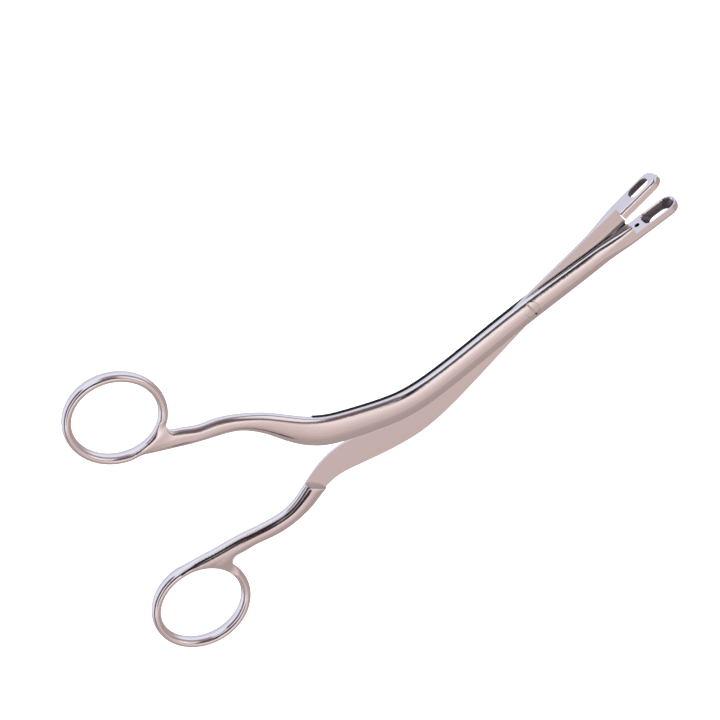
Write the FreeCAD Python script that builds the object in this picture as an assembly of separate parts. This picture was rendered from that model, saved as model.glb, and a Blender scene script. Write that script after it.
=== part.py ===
import FreeCAD, Part
import math
import os

# Septum cutting forceps with finger rings, lying on its side with the jaws part open.
# Both halves are drawn closed, round the pivot axis at x = 0, y = 0, in millimetres.
# x runs towards the jaws, z = 0 is the plane where the halves lap, and y = 0 is the
# plane where the jaws close. At the end the rear half is swung open round the pivot.

vec = FreeCAD.Vector
upward = vec(0, 0, 1)
reach = 300.0
overlap = 1.0
tiny = 0.001

# Bar that each half is forged and ground to
lapHalfThickness = 2.6
shankHalfThickness = 2.4
armWallHalf = 0.8
shankWallHalf = 0.3
armCrownFlat = 0.5
shankCrownFlat = 0.15
flareSections = 8
barSections = 24

# Cutting jaws: two fenestrated oval cups, placed from the shoulder at their root
jawShoulder = 38.0
jawLength = 15.8
jawNose = 3.0
noseOver = 0.15
jawDepth = 2.6
jawHalfWidth = 3.7
jawCorner = 0.9
jawFlareLength = 14.0
jawFlareUnder = 0.03
jawRootLength = 3.0
jawGap = 0.04
shoulderGap = 0.1
rimThickness = 0.55
cupBehindRoot = 1.0
cupCorner = 1.8
cupFloor = 0.5
windowBehindCup = 1.6
windowLand = 3.0
windowWidth = 4.6
jawTip = jawShoulder + jawLength
jawBlockStart = jawShoulder + jawRootLength
jawFlareStart = jawShoulder - jawFlareLength
jawFlareEnd = jawShoulder - overlap
cupStart = jawBlockStart + cupBehindRoot
windowStart = cupStart + windowBehindCup
windowEnd = jawTip - windowLand

# Lap of the two halves: x, y and width along the middle of the shared bar, from the jaws back
lapSpine = [(jawFlareStart, -0.4, 6.15), (0.0, -0.5, 6.9), (-20.0, -1.2, 7.1), (-38.0, -1.6, 7.4),
            (-46.0, -0.9, 7.8), (-60.0, 3.7, 8.5), (-69.0, 7.8, 8.9)]
lapGap = 0.04
lapEaseDepth = 0.3
lapEaseFromPivot = 5.0
lapEndX = -66.0
frontShoulderAt = (-71.2, 14.4)
frontShoulderAngle = 175.0
rearShoulderAt = (-81.9, 7.9)
rearShoulderAngle = -58.0

# Shanks: x, y and width from the lap back to the finger rings, slim and round from slimX on
slimX = -88.6
frontShankSpine = [(-74.3, 11.9, 8.6), (-79.0, 18.0, 7.4), (-83.8, 24.2, 5.8), (slimX, 28.6, 5.0),
                   (-96.0, 32.4, 5.1), (-104.5, 36.3, 5.2), (-110.0, 39.1, 5.1), (-119.5, 43.9, 4.8)]
rearShankSpine = [(-74.8, 9.1, 7.6), (-80.5, 8.9, 6.6), (-87.0, 7.7, 5.8), (-93.5, 7.3, 5.3),
                  (-99.2, 8.6, 5.1), (-108.0, 12.0, 5.2), (-113.5, 14.1, 5.1), (-126.5, 18.7, 4.6)]

# Finger rings: half sizes of the middle of the oval wire, its section, its centre and its turn
ringHalfLong = 14.1
ringHalfShort = 13.0
ringWireWide = 2.7
ringWireThick = 5.0
frontRingAt = (-115.2, 54.3)
frontRingAngle = 144.0
rearRingAt = (-131.7, 7.8)
rearRingAngle = 165.0
webRadius = 3.5
webHalfThickness = 2.33
webEdge = 1.8
webSink = 1.0
webBite = 0.15

# Pivot screw, fixed in the rear half, and the guide pin of the rear jaw
pivotRadius = 1.8
pivotRunning = 0.05
headRadius = 2.4
headConeBase = 0.7
headConeTop = 1.3
slotWidth = 0.6
slotBottom = 1.7
guidePinFromShoulder = 2.0
guidePinRadius = 0.7
guidePinReach = 1.3
guidePinSeat = 1.4
guidePinChamfer = 0.3
guideHoleRunning = 0.15
guideHoleDepth = 1.7

openAngle = 9.3
guidePinAt = jawShoulder + guidePinFromShoulder
beyond = 2 * lapHalfThickness


def smoothShare(value, start, end):
    """0 before start, 1 after end, and an even S-curve between."""
    share = min(max((value - start) / (end - start), 0.0), 1.0)
    return share * share * (3 - 2 * share)


def slimShare(x):
    """0 along the lap, 1 where the shank is slim and round."""
    return smoothShare(-x, -lapEndX, -slimX)


def between(first, second, share):
    """Value that goes from the first to the second with the share."""
    return first + (second - first) * share


def halfThicknessAt(x):
    """Half thickness of the bar: thinner in the shanks, flared to the width of the jaws."""
    flare = smoothShare(x, jawFlareStart, jawFlareEnd)
    flared = between(lapHalfThickness, jawHalfWidth - jawFlareUnder, flare)
    return between(flared, shankHalfThickness, slimShare(x))


def quarterCurve(centre, first, second):
    """Quarter of an ellipse from centre + first to centre + second."""
    handle = 4 / 3 * (math.sqrt(2) - 1)
    curve = Part.BezierCurve()
    curve.setPoles([centre + first, centre + first + second * handle,
                    centre + second + first * handle, centre + second])
    return curve.toShape()


def barSection(point, across, width):
    """Section of the bar: low crowns, round in the shanks, square with small corners at the jaws."""
    tight = smoothShare(point.x, jawFlareStart, jawBlockStart)
    slim = slimShare(point.x)
    halfTall = halfThicknessAt(point.x)
    wall = between(between(armWallHalf, shankWallHalf, slim), halfTall - jawCorner, tight)
    flat = between(armCrownFlat, shankCrownFlat, slim)
    cornerWide = between(width / 2 - flat, jawCorner, tight)
    cornerTall = halfTall - wall
    arcs = []
    for side, level in ((1, 1), (-1, 1), (-1, -1), (1, -1)):
        centre = point + across * (side * (width / 2 - cornerWide)) + upward * (level * wall)
        wide = across * (side * cornerWide)
        tall = upward * (level * cornerTall)
        first, second = (wide, tall) if side == level else (tall, wide)
        arcs.append(quarterCurve(centre, first, second))
    edges = []
    for index, arc in enumerate(arcs):
        following = arcs[(index + 1) % 4]
        edges.append(arc)
        end = arc.valueAt(arc.LastParameter)
        edges.append(Part.makeLine(end, following.valueAt(following.FirstParameter)))
    return Part.Wire(edges)


def bar(stations):
    """Solid lofted through sections square to a smooth spine; a station is x, y and width."""
    curve = Part.BSplineCurve()
    curve.interpolate([vec(*station) for station in stations])
    flareEnd = curve.parameter(vec(*lapSpine[0]))
    places = [flareEnd * step / flareSections for step in range(flareSections)]
    rest = [step / barSections for step in range(barSections + 1)]
    places += [between(flareEnd, curve.LastParameter, share) for share in rest]
    sections = []
    for place in places:
        station = curve.value(place)
        run = curve.tangent(place)[0]
        along = vec(run.x, run.y, 0).normalize() if place > 0 else vec(-1, 0, 0)
        across = vec(-along.y, along.x, 0)
        sections.append(barSection(vec(station.x, station.y, 0), across, station.z))
    return Part.makeLoft(sections, True, False)


def noseProfile():
    """Side profile of the closed jaws, which rounds their tip from the outer faces to the rims."""
    middle = vec(jawTip - jawNose, 0, -reach / 2)
    tall = jawDepth + noseOver
    oval = Part.Ellipse(middle, jawNose + noseOver, tall)
    nose = Part.ArcOfEllipse(oval, -math.pi / 2, math.pi / 2).toShape()
    back = jawBlockStart - overlap
    outline = Part.makePolygon([middle + vec(0, tall, 0), vec(back, tall, -reach / 2),
                                vec(back, -tall, -reach / 2), middle - vec(0, tall, 0)])
    return Part.Face(Part.Wire([nose] + outline.Edges)).extrude(vec(0, 0, reach))


def jawBlock():
    """Closed pair of jaws in front of the bar, before it is parted and hollowed."""
    flatEnd = jawTip - jawHalfWidth
    bottom = -jawDepth
    corners = [vec(jawBlockStart, bottom, -jawHalfWidth), vec(flatEnd, bottom, -jawHalfWidth),
               vec(jawTip, bottom, 0), vec(flatEnd, bottom, jawHalfWidth),
               vec(jawBlockStart, bottom, jawHalfWidth)]
    tip = Part.Arc(*corners[1:4]).toShape()
    sides = Part.makePolygon(corners[3:] + corners[:2])
    block = Part.Face(Part.Wire([tip] + sides.Edges)).extrude(vec(0, 2 * jawDepth, 0))
    rims = [edge for edge in block.Edges if abs(abs(edge.CenterOfMass.y) - jawDepth) < tiny
            and edge.CenterOfMass.x > jawBlockStart + tiny]
    return block.makeFillet(jawCorner, rims).common(noseProfile())


def blank(shankSpine):
    """One half's outer form with the lap and both jaws still whole."""
    root = [(jawBlockStart, 0.0, 2 * jawDepth), (jawShoulder, -0.03, 2 * jawDepth + 0.12)]
    return bar(root + lapSpine + shankSpine).fuse(jawBlock()).removeSplitter()


def lapSide(shoulderAt, shoulderAngle, top):
    """Block on the lap side of a shoulder line, from far below up to the height top."""
    block = Part.makeBox(reach, reach, reach, vec(-reach / 2, 0, top - reach))
    block.rotate(vec(0, 0, 0), upward, shoulderAngle)
    block.translate(vec(shoulderAt[0], shoulderAt[1], 0))
    return block


def slab(x0, x1, y0, y1, z0, z1):
    """Box between two corners."""
    return Part.makeBox(x1 - x0, y1 - y0, z1 - z0, vec(x0, y0, z0))


def flipped(shape):
    """Turned half round the x axis, which carries one jaw into the other."""
    turned = shape.copy()
    turned.rotate(vec(0, 0, 0), vec(1, 0, 0), 180)
    return turned


def mirroredDown(shape):
    """Mirrored in the lap plane."""
    return shape.mirror(vec(0, 0, 0), upward)


def lapRelief(shoulderAt, shoulderAngle):
    """What is milled from below the lap of the front half, up to the shank's shoulder."""
    behindJaw = slab(-reach, jawShoulder + shoulderGap, -reach, reach, -reach, reach)
    return lapSide(shoulderAt, shoulderAngle, lapGap / 2).common(behindJaw)


def lapEase():
    """Shallow step ground into the front lap before the pivot, so that only its bearing ends rub."""
    return slab(lapEaseFromPivot, jawShoulder - shoulderGap, -reach, reach, -reach, lapGap / 2 + lapEaseDepth)


def jawRelief():
    """Room in the front half for the rear jaw."""
    return slab(jawShoulder - shoulderGap, reach, -jawGap / 2, reach, -reach, reach)


def cupOutline(x0, x1, halfWide, startCorner, endCorner, y):
    """Rounded outline square to y, with its own corner radius at each end."""
    points = []
    corners = ((x0, -halfWide, startCorner, 1, 1), (x1, -halfWide, endCorner, -1, 1),
               (x1, halfWide, endCorner, -1, -1), (x0, halfWide, startCorner, 1, -1))
    for x, z, radius, inward, sense in corners:
        bend = radius * (1 - math.sqrt(0.5))
        beside = vec(x + inward * radius, y, z)
        middle = vec(x + inward * bend, y, z + sense * bend)
        along = vec(x, y, z + sense * radius)
        points.append((along, middle, beside) if inward == sense else (beside, middle, along))
    edges = []
    for index, (first, middle, last) in enumerate(points):
        edges.append(Part.Arc(first, middle, last).toShape())
        edges.append(Part.makeLine(last, points[(index + 1) % 4][0]))
    return Part.Wire(edges)


def cupHollow():
    """Tapered hollow of the front cup and the window through its floor."""
    almostRound = 0.97
    rimHalf = jawHalfWidth - rimThickness
    floor = -(jawDepth - cupFloor)
    rim = cupOutline(cupStart, jawTip - rimThickness, rimHalf, cupCorner, rimHalf * almostRound, 0)
    windowHalf = windowWidth / 2
    windowCorner = windowHalf * almostRound
    window = [cupOutline(windowStart, windowEnd, windowHalf, windowCorner, windowCorner, y)
              for y in (floor, -jawDepth - overlap)]
    taper = Part.makeLoft([rim, window[0]], True, True)
    through = Part.makeLoft(window, True, True)
    above = Part.Face(rim).extrude(vec(0, overlap, 0))
    return taper.fuse([through, above])


def wholeHalf(shankSpine, shoulderAt, shoulderAngle, mirrored):
    """Bar of one half with the lap milled and the jaw parted, still in one piece."""
    lap = lapRelief(shoulderAt, shoulderAngle)
    jaw = jawRelief()
    if mirrored:
        lap = mirroredDown(lap)
        jaw = flipped(jaw)
    return blank(shankSpine).cut(lap).cut(jaw)


def splitHalf(half, shoulderAt, shoulderAngle):
    """Shank, lap arm and jaw of a half."""
    lapBlock = lapSide(shoulderAt, shoulderAngle, reach / 2)
    shank = half.cut(lapBlock)
    rest = half.common(lapBlock)
    front = slab(jawShoulder - shoulderGap, reach, -reach, reach, -reach, reach)
    return shank, rest.cut(front), rest.common(front)


def oval(centre, first, second):
    """Closed oval wire with two half sizes given as vectors square to each other."""
    if second.Length > first.Length:
        first, second = second, first
    return Part.Wire([Part.Ellipse(centre + first, centre + second, centre).toShape()])


def fingerRing(centre, turn):
    """Oval finger ring of rounded wire, and the plug that fills it up to the wire's middle."""
    path = oval(vec(0, 0, 0), vec(ringHalfLong, 0, 0), vec(0, ringHalfShort, 0))
    start = path.Edges[0].valueAt(0)
    outward = vec(start).normalize() * (ringWireWide / 2)
    section = oval(start, upward * (ringWireThick / 2), outward)
    ring = path.makePipeShell([section], True, False)
    plug = Part.Face(path).extrude(vec(0, 0, 4 * ringWireThick))
    plug.translate(vec(0, 0, -2 * ringWireThick))
    for shape in (ring, plug):
        shape.rotate(vec(0, 0, 0), upward, turn)
        shape.translate(vec(centre[0], centre[1], 0))
    return ring, plug


def ringWeb(ringAt, spine):
    """Concave web in the corner between a finger ring and the inner side of its shank."""
    start = vec(spine[-2][0], spine[-2][1], 0)
    along = (vec(spine[-1][0], spine[-1][1], 0) - start).normalize()
    centre = vec(ringAt[0], ringAt[1], 0)
    side = 1 if along.cross(centre - start).z > 0 else -1
    inward = vec(-along.y, along.x, 0) * side
    sideDistance = (centre - start).dot(inward) - spine[-2][2] / 2 + webBite
    outerRadius = (ringHalfLong + ringHalfShort + ringWireWide) / 2 - webBite
    beside = sideDistance - webRadius
    back = math.sqrt((outerRadius + webRadius) ** 2 - beside ** 2)
    middle = centre - inward * beside - along * back
    corners = [middle, middle - inward * (webRadius + webSink),
               centre - inward * (sideDistance + webSink) - along * (back / 2), centre]
    web = Part.Face(Part.makePolygon(corners + corners[:1])).extrude(upward * (2 * webHalfThickness))
    web.translate(upward * -webHalfThickness)
    return web.cut(webCutter(middle))


def webCutter(middle):
    """Spool that hollows a web and leaves its edge as round as the ring wire."""
    top = upward * webHalfThickness
    rim = vec(webRadius + webEdge, 0, 0)
    throat = vec(webRadius, 0, 0)
    corners = [rim - top, top * -1, top, rim + top]
    upper = quarterCurve(rim, top, throat - rim)
    lower = quarterCurve(rim, throat - rim, top * -1)
    profile = Part.Face(Part.Wire([upper, lower] + Part.makePolygon(corners).Edges))
    spool = profile.revolve(vec(0, 0, 0), upward, 360)
    spool.translate(middle)
    return spool


def pivotPin(clearance, top, bottom):
    """Countersunk screw body between two heights, grown by a clearance."""
    radius = pivotRadius + clearance
    rim = headRadius + clearance
    shaft = Part.makeCylinder(radius, headConeBase - bottom, vec(0, 0, bottom))
    cone = Part.makeCone(radius, rim, headConeTop - headConeBase, vec(0, 0, headConeBase))
    head = Part.makeCylinder(rim, top - headConeTop, vec(0, 0, headConeTop))
    return shaft.fuse([cone, head]).removeSplitter()


def pivotScrew(form):
    """Slotted screw ground flush with both crowns; form is the closed blank round it."""
    screw = pivotPin(0, beyond, -beyond).common(form)
    slot = slab(-slotWidth / 2, slotWidth / 2, -reach, reach, slotBottom, reach)
    return screw.cut(slot)


def guidePin():
    """Pin in the rear jaw's root that enters the front jaw as the cups close."""
    end = vec(guidePinAt, -guidePinReach, 0)
    pin = Part.makeCylinder(guidePinRadius, guidePinReach + guidePinSeat, end, vec(0, 1, 0))
    tip = [edge for edge in pin.Edges if abs(edge.CenterOfMass.y + guidePinReach) < tiny]
    return pin.makeChamfer(guidePinChamfer, tip)


def guideHole():
    """Blind hole in the front jaw's root for the guide pin."""
    bottom = vec(guidePinAt, -guideHoleDepth, 0)
    return Part.makeCylinder(guidePinRadius + guideHoleRunning, guideHoleDepth, bottom, vec(0, 1, 0))


def build():
    """All pieces in their rest pose, by node name."""
    frontHalf = wholeHalf(frontShankSpine, frontShoulderAt, frontShoulderAngle, False)
    rearHalf = wholeHalf(rearShankSpine, rearShoulderAt, rearShoulderAngle, True)
    frontShank, frontArm, frontJaw = splitHalf(frontHalf, frontShoulderAt, frontShoulderAngle)
    rearShank, rearArm, rearJaw = splitHalf(rearHalf, rearShoulderAt, rearShoulderAngle)
    frontRing, frontPlug = fingerRing(frontRingAt, frontRingAngle)
    rearRing, rearPlug = fingerRing(rearRingAt, rearRingAngle)

    frontArm = frontArm.cut(pivotPin(pivotRunning, beyond, -beyond)).cut(lapEase())
    rearArm = rearArm.cut(Part.makeCylinder(pivotRadius, 2 * beyond, vec(0, 0, -beyond)))
    frontJaw = frontJaw.cut(cupHollow()).cut(guideHole())
    rearJaw = rearJaw.cut(flipped(cupHollow())).cut(guidePin())

    front = {
        "front_finger_ring": frontRing,
        "front_shank": frontShank.fuse(ringWeb(frontRingAt, frontShankSpine)).cut(frontPlug).cut(frontRing),
        "front_lap_arm": frontArm,
        "front_jaw": frontJaw,
    }
    rear = {
        "rear_finger_ring": rearRing,
        "rear_shank": rearShank.fuse(ringWeb(rearRingAt, rearShankSpine)).cut(rearPlug).cut(rearRing),
        "rear_lap_arm": rearArm,
        "rear_jaw": rearJaw,
        "guide_pin": guidePin(),
        "pivot_screw": pivotScrew(blank(frontShankSpine)),
    }
    for shape in rear.values():
        shape.rotate(vec(0, 0, 0), upward, openAngle)
    return {**front, **rear}


def standOnOrigin(pieces):
    """Moves all pieces so that the origin is at the middle of the underside."""
    box = Part.makeCompound(list(pieces.values())).optimalBoundingBox()
    shift = vec(-(box.XMin + box.XMax) / 2, -(box.YMin + box.YMax) / 2, -box.ZMin)
    for shape in pieces.values():
        shape.translate(shift)
    print("size", round(box.XLength, 3), round(box.YLength, 3), round(box.ZLength, 3))
    print("pivot axis at", round(shift.x, 3), round(shift.y, 3), "lap plane at", round(shift.z, 3))


os.makedirs("parts", exist_ok=True)
pieces = build()
standOnOrigin(pieces)
for name, shape in pieces.items():
    solids = shape.Solids
    print(name, "solids", len(solids), "valid", shape.isValid(), "volume", round(shape.Volume, 2))
    shape.exportStep("parts/" + name + ".step")
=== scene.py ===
import math

import bmesh
import bpy
import numpy as np
from mathutils import Matrix, Vector
from mathutils.bvhtree import BVHTree


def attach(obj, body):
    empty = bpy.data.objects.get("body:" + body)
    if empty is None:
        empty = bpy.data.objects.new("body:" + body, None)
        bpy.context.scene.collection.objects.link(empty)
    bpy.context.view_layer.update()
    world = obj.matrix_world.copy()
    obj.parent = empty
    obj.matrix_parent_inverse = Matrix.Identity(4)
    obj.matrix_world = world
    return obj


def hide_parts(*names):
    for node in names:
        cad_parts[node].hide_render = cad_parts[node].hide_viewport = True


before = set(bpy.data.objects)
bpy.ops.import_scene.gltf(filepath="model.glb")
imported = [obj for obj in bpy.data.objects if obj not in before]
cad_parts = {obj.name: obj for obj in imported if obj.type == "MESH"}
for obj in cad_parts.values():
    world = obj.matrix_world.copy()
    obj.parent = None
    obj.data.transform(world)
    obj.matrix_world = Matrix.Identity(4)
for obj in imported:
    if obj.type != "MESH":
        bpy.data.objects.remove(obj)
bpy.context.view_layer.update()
print("frame loaded")

# Grain and colour drift that all the steels share, and the samples of the painted shade in recesses;
# "lengthwise" draws the grinding marks out along x
grain = {
    "driftDetail": 3.0,
    "driftRoughness": 0.6,
    "markDetail": 2.0,
    "lengthwise": 0.08,
    "markDepth": 0.00002,
    "paintedShadeSamples": 16,
}

# Satin steel of the two forged halves
forgedLook = {
    "color": (0.82, 0.80, 0.81),
    "warmColor": (0.80, 0.77, 0.765),
    "roughness": 0.15,
    "roughnessSpread": 0.06,
    "brushedScale": 2600.0,
    "brushedStrength": 0.05,
    "mottleScale": 210.0,
    # painted shade: colour, reach and range of the darkening painted into corners and recesses
    "paintedShadeColor": (0.05, 0.022, 0.020),
    "paintedShadeReach": 0.0007,
    "paintedShadeRange": (0.25, 0.54),
}

# Matt milled steel inside the cups and windows of the jaws, its dark colour painted shade, and which faces get
# it: those with the jaw's own steel ahead within "across", and those that face up by "floorUp" and lie
# "floorDepth" under the rim
shadedCupLook = {
    # painted shade: these dark colours stand for the shade inside the cups and windows; the roughness is the
    # milled finish
    "color": (0.21, 0.19, 0.215),
    "warmColor": (0.18, 0.155, 0.17),
    "roughness": 0.40,
    "roughnessSpread": 0.08,
    "brushedScale": 3000.0,
    "brushedStrength": 0.08,
    "mottleScale": 300.0,
    # painted shade: colour, reach and range of the darkening painted into corners and recesses
    "paintedShadeColor": (0.045, 0.032, 0.036),
    "paintedShadeReach": 0.0030,
    "paintedShadeRange": (0.34, 0.92),
    "rayStart": 0.00001,
    "across": 0.02,
    "floorUp": 0.2,
    "floorDepth": 0.0003,
}

# Turned steel of the screw and pin
screwLook = {
    "color": (0.78, 0.76, 0.765),
    "warmColor": (0.76, 0.73, 0.73),
    "roughness": 0.20,
    "roughnessSpread": 0.05,
    "brushedScale": 3200.0,
    "brushedStrength": 0.06,
    "mottleScale": 320.0,
    # painted shade: colour, reach and range of the darkening painted into corners and recesses
    "paintedShadeColor": (0.13, 0.115, 0.11),
    "paintedShadeReach": 0.0007,
    "paintedShadeRange": (0.22, 0.58),
}

# Blend of each finger ring into its shank: grid of the new skin, then reach, gain and rounds of the
# smoothing, of the shape and (sheen) of the shading. "evenRounds" smooth the shape all over. "alongBar" is
# the bar's direction in degrees. "shoulders" are the planes where the shanks end at the lap: x, y and
# degrees, from the pivot in the closed pose. "openAngle" is how far the rear half is open at rest
blendLook = {
    "voxel": 0.0002,
    "joinWithin": 0.000001,
    "cutWithin": 0.0000001,
    "ringReach": 0.003,
    "shankReach": 0.009,
    "shapeGain": 1.6,
    "step": 0.5,
    "rounds": 90,
    "evenRounds": 4,
    "sheenReach": 0.022,
    "sheenGain": 2.0,
    "sheenEdge": 3.0,
    "sheenRounds": 400,
    "sheenPower": 6,
    "sheenLeast": 0.0001,
    "sharpAngle": 40.0,
    "alongBar": {"front": -26.0, "rear": -11.0},
    "openAngle": 9.3,
    "shoulders": {"front": (-0.0712, 0.0144, 175.0), "rear": (-0.0819, 0.0079, -58.0)},
}

# View of the photograph: the hinge's axis and the point that the camera looks at, in metres, and how the
# camera stands over it, in degrees and pixels
view = {
    "axis": (0.046434, -0.020547, 0.0037),
    "pivot": (0.046434, -0.020247, 0.0037),
    "tilt": 31.0,
    "roll": 37.1,
    "distance": 0.715,
    "pixelsPerMetre": 3390.0,
    "imageSize": 720,
    "pivotPixel": (533.3, 310.6),
    "pivotHeight": 0.0036,
    "sensorWidth": 36.0,
    "nearest": 0.01,
}

# Surroundings: what the steel mirrors, by direction. "arch" holds colours from the far horizon (0) over the
# top (0.5) to the near horizon (1). "strips" are the room's darker parts: colour, then where each comes in
# and goes out across (x), comes in and goes out in height (z), and comes in away from us (y). "table" is
# what lies below: "steep" (z) and "near" (y) say where its other colours come in, "tableEnds" gives a colour
# and where it comes in across (x), and "endSlope" the four heights (z) between which those ends show
studio = {
    "floorRadius": 0.30,
    "floorSides": 96,
    "floorDrop": 0.00005,
    "floorMatt": 0.06,
    "background": (1.0, 1.0, 1.0),
    "horizon": (0.0, -0.01),
    "table": (0.94, 0.95, 1.09),
    "tableSteep": (0.70, 0.70, 0.83),
    "steep": (0.72, 0.90),
    "tableNear": (0.46, 0.37, 0.36),
    "near": (0.0, 0.45),
    "tableEnds": [((0.36, 0.27, 0.32), (-0.3, -0.45)), ((0.10, 0.07, 0.09), (0.10, 0.24))],
    "endSlope": (0.0, 0.06, 0.38, 0.47),
    "cardColor": (0.015, 0.004, 0.008),
    "cardCorners": [
        (-0.083, -0.0193, 0.020),
        (-0.042, -0.0274, 0.020),
        (-0.041, -0.0200, 0.020),
        (-0.082, -0.0120, 0.020),
    ],
    "lampPower": 90.0,
    "lampWidth": 1.5,
    "lampTilt": 20.0,
    "arch": [
        (0.0, (0.99, 0.975, 1.04)),
        (0.28, (0.99, 0.975, 1.02)),
        (0.36, (1.18, 1.05, 1.03)),
        (0.44, (1.15, 1.00, 0.98)),
        (0.49, (1.02, 0.865, 0.848)),
        (0.58, (0.86, 0.705, 0.69)),
        (0.67, (0.715, 0.575, 0.548)),
        (0.72, (0.58, 0.46, 0.445)),
        (0.76, (0.50, 0.395, 0.38)),
        (1.0, (0.46, 0.37, 0.355)),
    ],
    "strips": [
        ((0.12, 0.10, 0.10), (-0.7, -0.35), (0.22, 0.42), (0.16, 0.30), (0.74, 0.88), (-0.35, 0.0)),
        ((0.05, 0.03, 0.03), (-0.40, -0.25), (-0.09, -0.03), (0.16, 0.30), (0.74, 0.88), (-0.35, 0.0)),
        ((0.17, 0.115, 0.12), (0.28, 0.38), (0.68, 0.80), (-0.05, 0.05), (0.78, 0.90), (-0.35, 0.0)),
        ((0.015, 0.004, 0.008), (0.05, 0.12), (0.25, 0.34), (0.22, 0.38), (0.88, 0.97), (-0.35, 0.0)),
        ((0.09, 0.06, 0.07), (-0.95, -0.80), (-0.30, -0.16), (0.25, 0.40), (0.66, 0.82), (0.0, 0.15)),
    ],
}


def node(tree, kind, **inputs):
    made = tree.nodes.new(kind)
    for name, value in inputs.items():
        made.inputs[name.replace("_", " ")].default_value = value
    return made


def material(name):
    made = bpy.data.materials.new(name)
    made.use_nodes = True
    return made, made.node_tree


def placed(name, data):
    made = bpy.data.objects.new(name, data)
    bpy.context.scene.collection.objects.link(made)
    return made


def surfaceTree(mesh):
    return BVHTree.FromPolygons([v.co for v in mesh.vertices], [p.vertices for p in mesh.polygons])


def fade(tree, value, start, end):
    # 0 before the start, 1 after the end
    ramp = node(tree, "ShaderNodeMapRange", From_Min=start, From_Max=end)
    ramp.interpolation_type = "SMOOTHSTEP"
    tree.links.new(value, ramp.inputs["Value"])
    return ramp.outputs["Result"]


def product(tree, first, second):
    made = node(tree, "ShaderNodeMath")
    made.operation = "MULTIPLY"
    tree.links.new(first, made.inputs[0])
    tree.links.new(second, made.inputs[1])
    return made.outputs[0]


def mixed(tree, share, first, second):
    # first colour where the share is 0, second where it is 1; the colour sockets are 6, 7 and 2
    made = node(tree, "ShaderNodeMix")
    made.data_type = "RGBA"
    tree.links.new(share, made.inputs[0])
    for place, color in ((6, first), (7, second)):
        if isinstance(color, tuple):
            made.inputs[place].default_value = (*color, 1)
        else:
            tree.links.new(color, made.inputs[place])
    return made.outputs[2]


def steel(name, look):
    made, tree = material(name)
    shader = tree.nodes["Principled BSDF"]
    shader.inputs["Metallic"].default_value = 1.0
    place = node(tree, "ShaderNodeTexCoord")
    # slow colour drift, as left by hand polishing
    mottle = node(tree, "ShaderNodeTexNoise", Scale=look["mottleScale"], Detail=grain["driftDetail"],
                  Roughness=grain["driftRoughness"])
    tree.links.new(place.outputs["Object"], mottle.inputs["Vector"])
    tint = mixed(tree, mottle.outputs["Fac"], look["color"], look["warmColor"])
    # painted shade: corners, creases and recesses, where shade falls, get a darker colour painted into the base
    # colour by ambient occlusion
    occlusion = node(tree, "ShaderNodeAmbientOcclusion", Distance=look["paintedShadeReach"])
    occlusion.samples = grain["paintedShadeSamples"]
    unshaded = fade(tree, occlusion.outputs["AO"], *look["paintedShadeRange"])
    tree.links.new(mixed(tree, unshaded, look["paintedShadeColor"], tint), shader.inputs["Base Color"])
    # fine grinding marks along the length
    stretch = node(tree, "ShaderNodeMapping", Scale=(grain["lengthwise"], 1.0, 1.0))
    tree.links.new(place.outputs["Object"], stretch.inputs["Vector"])
    marks = node(tree, "ShaderNodeTexNoise", Scale=look["brushedScale"], Detail=grain["markDetail"])
    tree.links.new(stretch.outputs["Vector"], marks.inputs["Vector"])
    low, high = look["roughness"] - look["roughnessSpread"], look["roughness"] + look["roughnessSpread"]
    spread = node(tree, "ShaderNodeMapRange", To_Min=low, To_Max=high)
    tree.links.new(marks.outputs["Fac"], spread.inputs["Value"])
    tree.links.new(spread.outputs["Result"], shader.inputs["Roughness"])
    bump = node(tree, "ShaderNodeBump", Strength=look["brushedStrength"], Distance=grain["markDepth"])
    tree.links.new(marks.outputs["Fac"], bump.inputs["Height"])
    tree.links.new(bump.outputs["Normal"], shader.inputs["Normal"])
    return made


forgedSteel = steel("forgedSteel", forgedLook)
shadedCupSteel = steel("shadedCupSteel", shadedCupLook)
screwSteel = steel("screwSteel", screwLook)
copyFinish = {
    "front_lap_arm": forgedSteel,
    "front_jaw": forgedSteel,
    "rear_lap_arm": forgedSteel,
    "rear_jaw": forgedSteel,
    "pivot_screw": screwSteel,
    "guide_pin": screwSteel,
}


def smoothCopy(name, finish):
    # copy of a CAD node with the smooth shading of its own surfaces
    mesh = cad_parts[name].data.copy()
    mesh.name = name + "_steel"
    made = placed(name + "_steel", mesh)
    mesh.materials.clear()
    mesh.materials.append(finish)
    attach(made, "front_half" if name.startswith("front") else "rear_half")
    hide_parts(name)
    return made


def milledShadedInside(made, openWay):
    # faces that look across the cup or the window, or up from the cup's floor, get the matt steel, whose dark
    # colour is painted shade in these hollows
    mesh = made.data
    mesh.materials.append(shadedCupSteel)
    tree = surfaceTree(mesh)
    rim = max(openWay.dot(v.co) for v in mesh.vertices)
    for face in mesh.polygons:
        start = face.center + face.normal * shadedCupLook["rayStart"]
        facing = tree.ray_cast(start, face.normal, shadedCupLook["across"])[0]
        up, depth = face.normal.dot(openWay), rim - openWay.dot(face.center)
        if facing is not None or (up > shadedCupLook["floorUp"] and depth > shadedCupLook["floorDepth"]):
            face.material_index = 1


def joinedMesh(names):
    soup = bmesh.new()
    for name in names:
        soup.from_mesh(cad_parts[name].data)
    bmesh.ops.remove_doubles(soup, verts=soup.verts, dist=blendLook["joinWithin"])
    mesh = bpy.data.meshes.new("joined")
    soup.to_mesh(mesh)
    soup.free()
    return mesh


def newSkin(mesh, voxel):
    # one closed skin over the touching solids
    rough = placed("rough", mesh)
    grid = rough.modifiers.new("grid", "REMESH")
    grid.mode = "VOXEL"
    grid.voxel_size = voxel
    ready = rough.evaluated_get(bpy.context.evaluated_depsgraph_get())
    skin = bpy.data.meshes.new_from_object(ready)
    bpy.data.objects.remove(rough)
    return skin


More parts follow.
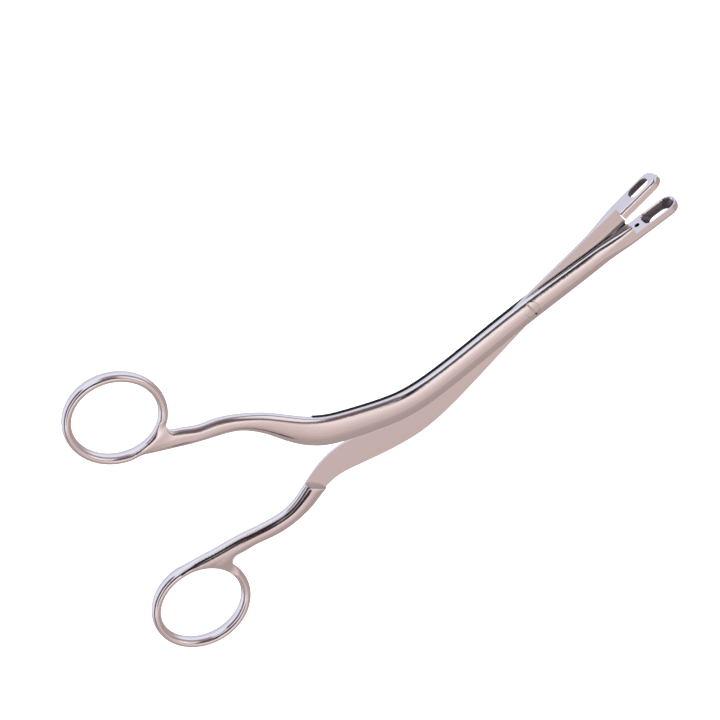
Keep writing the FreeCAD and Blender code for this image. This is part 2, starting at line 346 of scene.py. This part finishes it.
def nearness(points, name, reach):
    # 1 on the surface of a CAD node, 0 at the reach and beyond
    tree = surfaceTree(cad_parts[name].data)
    near = np.zeros(len(points))
    for index, point in enumerate(points):
        distance = tree.find_nearest(point, reach)[3]
        if distance is not None:
            near[index] = 1 - distance / reach
    return near


def relax(mesh, share, look):
    # evens the skin, most of all where share is 1
    count = len(mesh.vertices)
    ends = np.zeros(2 * len(mesh.edges), dtype=int)
    mesh.edges.foreach_get("vertices", ends)
    ends = ends.reshape(-1, 2)
    spots = np.zeros(3 * count)
    mesh.vertices.foreach_get("co", spots)
    spots = spots.reshape(-1, 3)
    first, second = ends[:, 0], ends[:, 1]
    degree = np.bincount(ends.ravel(), minlength=count)
    for turn in range(look["rounds"]):
        strength = look["step"] * (share if turn >= look["evenRounds"] else np.ones(count))
        total = np.stack([np.bincount(first, spots[second, axis], count)
                          + np.bincount(second, spots[first, axis], count)
                          for axis in range(3)], axis=1)
        spots += strength[:, None] * (total / degree[:, None] - spots)
    mesh.vertices.foreach_set("co", spots.ravel())
    mesh.update()


def evenSheen(mesh, share, look, alongBar):
    # evens the shading along the bar, where share is 1, and leaves the shape as it is
    count = len(mesh.vertices)
    ends = np.array([edge.vertices[:] for edge in mesh.edges])
    first, second = ends[:, 0], ends[:, 1]
    spots = np.array([v.co[:] for v in mesh.vertices])
    way = spots[second] - spots[first]
    run = np.array([math.cos(math.radians(alongBar)), math.sin(math.radians(alongBar)), 0.0])
    along = np.abs(way @ run / np.linalg.norm(way, axis=1).clip(1e-9))
    weight = along ** look["sheenPower"] + look["sheenLeast"]
    full = np.bincount(first, weight, count) + np.bincount(second, weight, count)
    straight = np.array([normal.vector[:] for normal in mesh.vertex_normals])
    even = straight.copy()
    for turn in range(look["sheenRounds"]):
        for axis in range(3):
            total = np.bincount(first, weight * even[second, axis], count)
            total += np.bincount(second, weight * even[first, axis], count)
            even[:, axis] += look["step"] * share * (total / full - even[:, axis])
    corners = np.array([corner.vector[:] for corner in mesh.corner_normals])
    which = np.array([loop.vertex_index for loop in mesh.loops])
    share = np.clip(share * look["sheenEdge"], 0, 1)[which, None]
    corners = (1 - share) * corners + share * even[which]
    corners /= np.linalg.norm(corners, axis=1, keepdims=True)
    mesh.normals_split_custom_set(corners.tolist())


def shoulderPlane(half):
    x, y, degrees = blendLook["shoulders"][half]
    angle = math.radians(degrees)
    point = restTurn[half] @ Vector((x, y, 0)) + Vector(view["axis"])
    inward = restTurn[half] @ Vector((-math.sin(angle), math.cos(angle), 0))
    return point, inward


def blendedHandle(half):
    # finger ring and shank as one skin, with the web flowing into both
    ring, shank = half + "_finger_ring", half + "_shank"
    mesh = newSkin(joinedMesh([ring, shank, half + "_lap_arm"]), blendLook["voxel"])
    points = [v.co.copy() for v in mesh.vertices]
    share = np.minimum(nearness(points, ring, blendLook["shankReach"]),
                       nearness(points, shank, blendLook["ringReach"]))
    relax(mesh, np.clip(share * blendLook["shapeGain"], 0, 1), blendLook)
    point, inward = shoulderPlane(half)
    soup = bmesh.new()
    soup.from_mesh(mesh)
    parts = soup.verts[:] + soup.edges[:] + soup.faces[:]
    bmesh.ops.bisect_plane(soup, geom=parts, dist=blendLook["cutWithin"], plane_co=point, plane_no=inward,
                           clear_outer=True)
    rim = [edge for edge in soup.edges if edge.is_boundary]
    bmesh.ops.holes_fill(soup, edges=rim, sides=0)
    bmesh.ops.triangulate(soup, faces=[face for face in soup.faces if len(face.verts) > 4])
    soup.to_mesh(mesh)
    soup.free()
    made = placed(half + "_handle_steel", mesh)
    mesh.materials.clear()
    mesh.materials.append(forgedSteel)
    mesh.shade_smooth()
    mesh.set_sharp_from_angle(angle=math.radians(blendLook["sharpAngle"]))
    points = [v.co.copy() for v in mesh.vertices]
    byRing = blendLook["sheenGain"] * nearness(points, ring, blendLook["sheenReach"])
    share = np.minimum(np.clip(byRing, 0, 1), nearness(points, shank, blendLook["ringReach"]))
    evenSheen(mesh, share, blendLook, blendLook["alongBar"][half])
    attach(made, half + "_half")
    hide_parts(ring, shank)
    return made


# how each half is turned about the pivot at rest: only the rear half swings open
restTurn = {
    "front": Matrix.Identity(3),
    "rear": Matrix.Rotation(math.radians(blendLook["openAngle"]), 3, "Z"),
}
for half in ("front", "rear"):
    handle = blendedHandle(half)
    print(half, "handle made,", len(handle.data.polygons), "faces")
copies = {name: smoothCopy(name, finish) for name, finish in copyFinish.items()}
milledShadedInside(copies["front_jaw"], restTurn["front"] @ Vector((0, 1, 0)))
milledShadedInside(copies["rear_jaw"], restTurn["rear"] @ Vector((0, -1, 0)))
print("steel pieces made")


def makeCamera():
    tilt, roll = math.radians(view["tilt"]), math.radians(view["roll"])
    back = Vector((0, math.sin(tilt), math.cos(tilt)))
    level = Vector((0, math.cos(tilt), -math.sin(tilt)))
    side = Vector((1, 0, 0))
    right = side * math.cos(roll) - level * math.sin(roll)
    up = side * math.sin(roll) + level * math.cos(roll)
    focal = view["pixelsPerMetre"] * view["distance"]
    half = view["imageSize"] / 2
    across = (view["pivotPixel"][0] - half) / focal * view["distance"]
    above = (half - view["pivotPixel"][1]) / focal * view["distance"]
    target = Vector(view["pivot"]) + Vector((0, 0, view["pivotHeight"]))
    data = bpy.data.cameras.new("camera")
    data.sensor_width = view["sensorWidth"]
    data.lens = focal / view["imageSize"] * data.sensor_width
    data.clip_start = view["nearest"]
    camera = placed("camera", data)
    turn = Matrix((right, up, back)).transposed().to_4x4()
    stand = target + back * view["distance"] - right * across - up * above
    camera.matrix_world = Matrix.Translation(stand) @ turn
    bpy.context.scene.camera = camera


def makeFloor():
    # matt for the camera, which sees the shadow on it, and clear for the steel
    outline = bmesh.new()
    bmesh.ops.create_circle(outline, cap_ends=True, segments=studio["floorSides"], radius=studio["floorRadius"])
    mesh = bpy.data.meshes.new("floor")
    outline.to_mesh(mesh)
    outline.free()
    floor = placed("floor", mesh)
    floor.location = (0.0, 0.0, -studio["floorDrop"])
    paleFloor, tree = material("paleFloor")
    out = tree.nodes["Material Output"]
    tree.nodes.remove(tree.nodes["Principled BSDF"])
    matt = node(tree, "ShaderNodeBsdfDiffuse", Color=(*[studio["floorMatt"]] * 3, 1))
    clear = node(tree, "ShaderNodeBsdfTransparent")
    rays = node(tree, "ShaderNodeLightPath")
    blend = node(tree, "ShaderNodeMixShader")
    tree.links.new(rays.outputs["Is Camera Ray"], blend.inputs[0])
    tree.links.new(clear.outputs[0], blend.inputs[1])
    tree.links.new(matt.outputs[0], blend.inputs[2])
    tree.links.new(blend.outputs[0], out.inputs["Surface"])
    mesh.materials.append(paleFloor)
    return floor


def makeCard():
    # dark card over the rear shank, seen only in the steel: it widens the black band there
    mesh = bpy.data.meshes.new("darkCard")
    mesh.from_pydata(studio["cardCorners"], [], [(0, 1, 2, 3)])
    card = placed("darkCard", mesh)
    card.visible_camera = card.visible_shadow = card.visible_diffuse = False
    cardBlack, tree = material("cardBlack")
    tree.nodes.remove(tree.nodes["Principled BSDF"])
    flat = node(tree, "ShaderNodeEmission", Color=(*studio["cardColor"], 1))
    tree.links.new(flat.outputs[0], tree.nodes["Material Output"].inputs["Surface"])
    mesh.materials.append(cardBlack)


def makeLamp(floor, blockers):
    # hard lamp over the table: it lights only the floor, and only the blockers shade it
    data = bpy.data.lights.new("tableLamp", "SUN")
    data.energy = studio["lampPower"]
    data.angle = math.radians(studio["lampWidth"])
    lamp = placed("tableLamp", data)
    lamp.rotation_euler = (-math.radians(studio["lampTilt"]), 0.0, 0.0)
    lit = bpy.data.collections.new("lit")
    lit.objects.link(floor)
    shading = bpy.data.collections.new("shading")
    for blocker in blockers:
        shading.objects.link(blocker)
    lamp.light_linking.receiver_collection = lit
    lamp.light_linking.blocker_collection = shading


def mirroredTable(tree, place):
    # the table as the steel mirrors it: bright far off, darker below, on our side and at its ends
    down = node(tree, "ShaderNodeVectorMath")
    down.operation = "MULTIPLY"
    down.inputs[1].default_value = (-1.0, -1.0, -1.0)
    tree.links.new(place.outputs["Generated"], down.inputs[0])
    parts = node(tree, "ShaderNodeSeparateXYZ")
    tree.links.new(down.outputs[0], parts.inputs[0])
    x, y, slope = (parts.outputs[axis] for axis in "XYZ")
    color = mixed(tree, fade(tree, slope, *studio["steep"]), studio["table"], studio["tableSteep"])
    start, full, leave, end = studio["endSlope"]
    line = product(tree, fade(tree, slope, start, full), fade(tree, slope, end, leave))
    for shade, side in studio["tableEnds"]:
        color = mixed(tree, product(tree, line, fade(tree, x, *side)), color, shade)
    return mixed(tree, fade(tree, y, *studio["near"]), color, studio["tableNear"])


def makeWorld():
    world = bpy.data.worlds.new("studio")
    bpy.context.scene.world = world
    world.use_nodes = True
    tree = world.node_tree
    place = node(tree, "ShaderNodeTexCoord")
    parts = node(tree, "ShaderNodeSeparateXYZ")
    tree.links.new(place.outputs["Generated"], parts.inputs[0])
    angle = node(tree, "ShaderNodeMath")
    angle.operation = "ARCTAN2"
    tree.links.new(parts.outputs["Z"], angle.inputs[0])
    tree.links.new(parts.outputs["Y"], angle.inputs[1])
    turn = node(tree, "ShaderNodeMapRange", From_Min=0.0, From_Max=math.pi)
    tree.links.new(angle.outputs[0], turn.inputs["Value"])
    ramp = node(tree, "ShaderNodeValToRGB")
    stops = ramp.color_ramp
    while len(stops.elements) < len(studio["arch"]):
        stops.elements.new(1.0)
    for stop, (spot, color) in zip(stops.elements, studio["arch"]):
        stop.position = spot
        stop.color = (*color, 1)
    tree.links.new(turn.outputs["Result"], ramp.inputs["Fac"])
    color = ramp.outputs["Color"]
    x, y, z = (parts.outputs[axis] for axis in "XYZ")
    for shade, comes, goes, rises, ends, away in studio["strips"]:
        share = fade(tree, x, *comes)
        for value, limits in ((x, goes[::-1]), (z, rises), (z, ends[::-1]), (y, away)):
            share = product(tree, share, fade(tree, value, *limits))
        color = mixed(tree, share, color, shade)
    color = mixed(tree, fade(tree, z, *studio["horizon"]), color, mirroredTable(tree, place))
    # the camera itself sees plain white
    rays = node(tree, "ShaderNodeLightPath")
    color = mixed(tree, rays.outputs["Is Camera Ray"], color, studio["background"])
    tree.links.new(color, tree.nodes["Background"].inputs["Color"])


makeCamera()
makeLamp(makeFloor(), [copies["front_lap_arm"], copies["pivot_screw"]])
makeCard()
makeWorld()
bpy.context.scene.view_settings.view_transform = "Standard"
print("camera, floor and light made")
